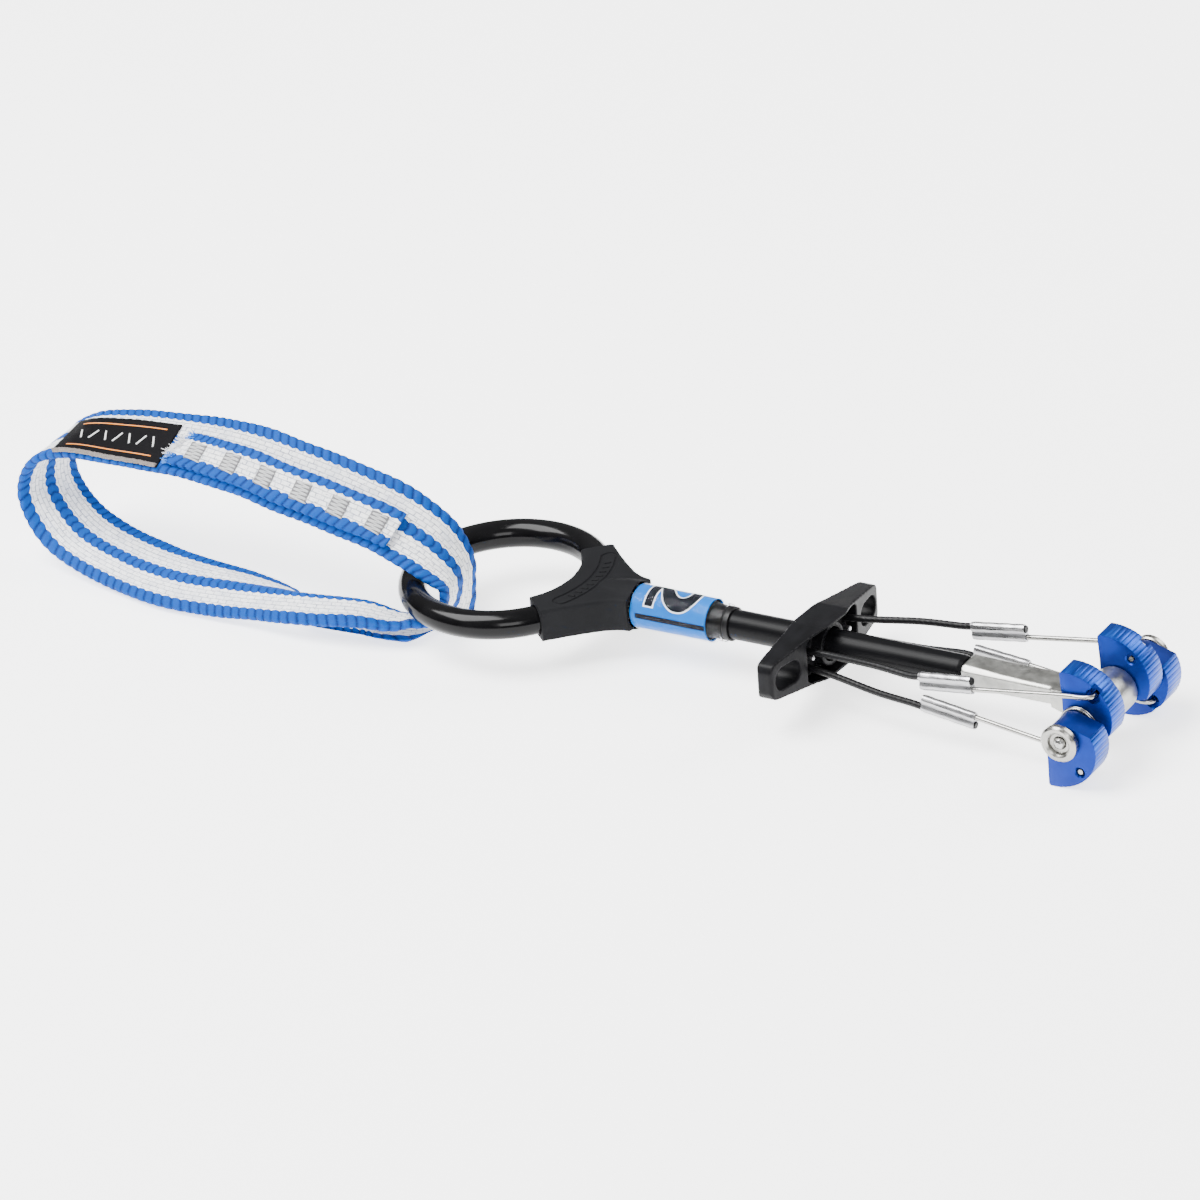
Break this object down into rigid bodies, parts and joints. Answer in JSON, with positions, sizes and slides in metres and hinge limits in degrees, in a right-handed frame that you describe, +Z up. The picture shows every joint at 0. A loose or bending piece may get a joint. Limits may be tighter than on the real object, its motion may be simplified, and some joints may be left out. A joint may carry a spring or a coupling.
{
  "type": "spring loaded camming device",
  "caption": "Single-stem active rock climbing protection with spring loaded cam lobes, a finger trigger, a thumb loop and a sewn sling.",
  "frame": {"origin": "on the floor, under the middle of the bounding box", "axes": "+X along the stem from the sling to the cam lobes, +Y along the cam axle, +Z up"},
  "size_m": [0.2998, 0.0514, 0.0401],
  "materials": {
    "loop_sheath": "glossy black coated cable sheath",
    "steel_cable": "stranded stainless cable",
    "swage_ferrule": "swaged, satin",
    "boot_rubber": "matt moulded rubber with a fine grain",
    "label_blue": "printed film",
    "clear_film": "clear heat-shrink tube",
    "collar_black": "heat-shrink collar",
    "stem_black": "semi-gloss extruded sheath",
    "terminal_steel": "forged and tumbled stainless steel",
    "axle_steel": "ground",
    "washer_steel": "turned, satin",
    "spring_steel": "drawn wire",
    "lobe_blue": "blue anodised, fine grooves across the cam face",
    "trigger_black": "moulded nylon",
    "cable_black": "nylon coated cable",
    "crimp_bright": "bright, lightly crimped",
    "wire_steel": "drawn stainless wire",
    "web_blue_white": "woven tape in blue and white stripes",
    "tag_black": "satin woven label",
    "stitch_grey": "bar tack thread"
  },
  "bodies": {
    "frame": {"thumb_loop_sheath": "loop_sheath", "thumb_loop_cable": "steel_cable", "junction_ferrule": "swage_ferrule", "rubber_boot": "boot_rubber", "size_label": "label_blue", "clear_shrink_tube": "clear_film", "stem_collar": "collar_black", "stem_sheath": "stem_black", "stem_cable": "steel_cable", "stem_terminal": "terminal_steel", "axle": "axle_steel", "end_washer_a": "washer_steel", "torsion_spring_a": "spring_steel", "end_washer_b": "washer_steel", "torsion_spring_b": "spring_steel"},
    "trigger": {"trigger_bar": "trigger_black", "trigger_crimp_a": "crimp_bright", "trigger_crimp_b": "crimp_bright"},
    "lobe_outer_a": {"cam_lobe_outer_a": "lobe_blue"},
    "lobe_inner_a": {"cam_lobe_inner_a": "lobe_blue"},
    "lobe_outer_b": {"cam_lobe_outer_b": "lobe_blue"},
    "lobe_inner_b": {"cam_lobe_inner_b": "lobe_blue"},
    "wire_outer_a": {"lobe_wire_outer_a": "wire_steel", "wire_ferrule_outer_a": "crimp_bright", "trigger_cable_outer_a": "cable_black"},
    "wire_inner_a": {"lobe_wire_inner_a": "wire_steel", "wire_ferrule_inner_a": "crimp_bright", "trigger_cable_inner_a": "cable_black"},
    "wire_outer_b": {"lobe_wire_outer_b": "wire_steel", "wire_ferrule_outer_b": "crimp_bright", "trigger_cable_outer_b": "cable_black"},
    "wire_inner_b": {"lobe_wire_inner_b": "wire_steel", "wire_ferrule_inner_b": "crimp_bright", "trigger_cable_inner_b": "cable_black"},
    "sling": {"sling_webbing": "web_blue_white", "sling_lap": "web_blue_white", "sling_tag": "tag_black", "bar_tack_1": "stitch_grey", "bar_tack_2": "stitch_grey", "bar_tack_3": "stitch_grey", "bar_tack_4": "stitch_grey", "bar_tack_5": "stitch_grey", "bar_tack_6": "stitch_grey"}
  },
  "joints": [
    {"name": "trigger_slide", "type": "slide", "parent": "frame", "child": "trigger", "axis": [-1, 0, 0], "range_m": [0, 0.0099], "stiffness_N_per_m": 300, "springref_m": -0.008},
    {"name": "lobe_outer_a_pivot", "type": "hinge", "parent": "frame", "child": "lobe_outer_a", "pos_m": [0.14139, 0, 0.01265], "axis": [0, 1, 0], "range_deg": [0, 72.1]},
    {"name": "lobe_inner_a_pivot", "type": "hinge", "parent": "frame", "child": "lobe_inner_a", "pos_m": [0.14139, 0, 0.01265], "axis": [0, -1, 0], "range_deg": [0, 72.1]},
    {"name": "lobe_outer_b_pivot", "type": "hinge", "parent": "frame", "child": "lobe_outer_b", "pos_m": [0.14139, 0, 0.01265], "axis": [0, 1, 0], "range_deg": [0, 72.1]},
    {"name": "lobe_inner_b_pivot", "type": "hinge", "parent": "frame", "child": "lobe_inner_b", "pos_m": [0.14139, 0, 0.01265], "axis": [0, -1, 0], "range_deg": [0, 72.1]},
    {"name": "wire_outer_a_hook", "type": "hinge", "parent": "lobe_outer_a", "child": "wire_outer_a", "pos_m": [0.14529, 0, 0.00495], "axis": [0, -1, 0], "range_deg": [0, 73.5]},
    {"name": "wire_inner_a_hook", "type": "hinge", "parent": "lobe_inner_a", "child": "wire_inner_a", "pos_m": [0.14529, 0, 0.02035], "axis": [0, 1, 0], "range_deg": [0, 73.5]},
    {"name": "wire_outer_b_hook", "type": "hinge", "parent": "lobe_outer_b", "child": "wire_outer_b", "pos_m": [0.14529, 0, 0.00495], "axis": [0, -1, 0], "range_deg": [0, 73.5]},
    {"name": "wire_inner_b_hook", "type": "hinge", "parent": "lobe_inner_b", "child": "wire_inner_b", "pos_m": [0.14529, 0, 0.02035], "axis": [0, 1, 0], "range_deg": [0, 73.5]},
    {"name": "sling_swing", "type": "hinge", "parent": "frame", "child": "sling", "pos_m": [-0.03811, -0.0078, 0.01115], "axis": [0, 1, 0], "range_deg": [0, 80]}
  ],
  "couplings": [
    {"joint": "lobe_outer_a_pivot", "follows": "trigger_slide", "rad_per_m": 127},
    {"joint": "lobe_inner_a_pivot", "follows": "trigger_slide", "rad_per_m": 127},
    {"joint": "lobe_outer_b_pivot", "follows": "trigger_slide", "rad_per_m": 127},
    {"joint": "lobe_inner_b_pivot", "follows": "trigger_slide", "rad_per_m": 127},
    {"joint": "wire_outer_a_hook", "follows": "trigger_slide", "rad_per_m": 129.44},
    {"joint": "wire_inner_a_hook", "follows": "trigger_slide", "rad_per_m": 129.44},
    {"joint": "wire_outer_b_hook", "follows": "trigger_slide", "rad_per_m": 129.44},
    {"joint": "wire_inner_b_hook", "follows": "trigger_slide", "rad_per_m": 129.44}
  ]
}
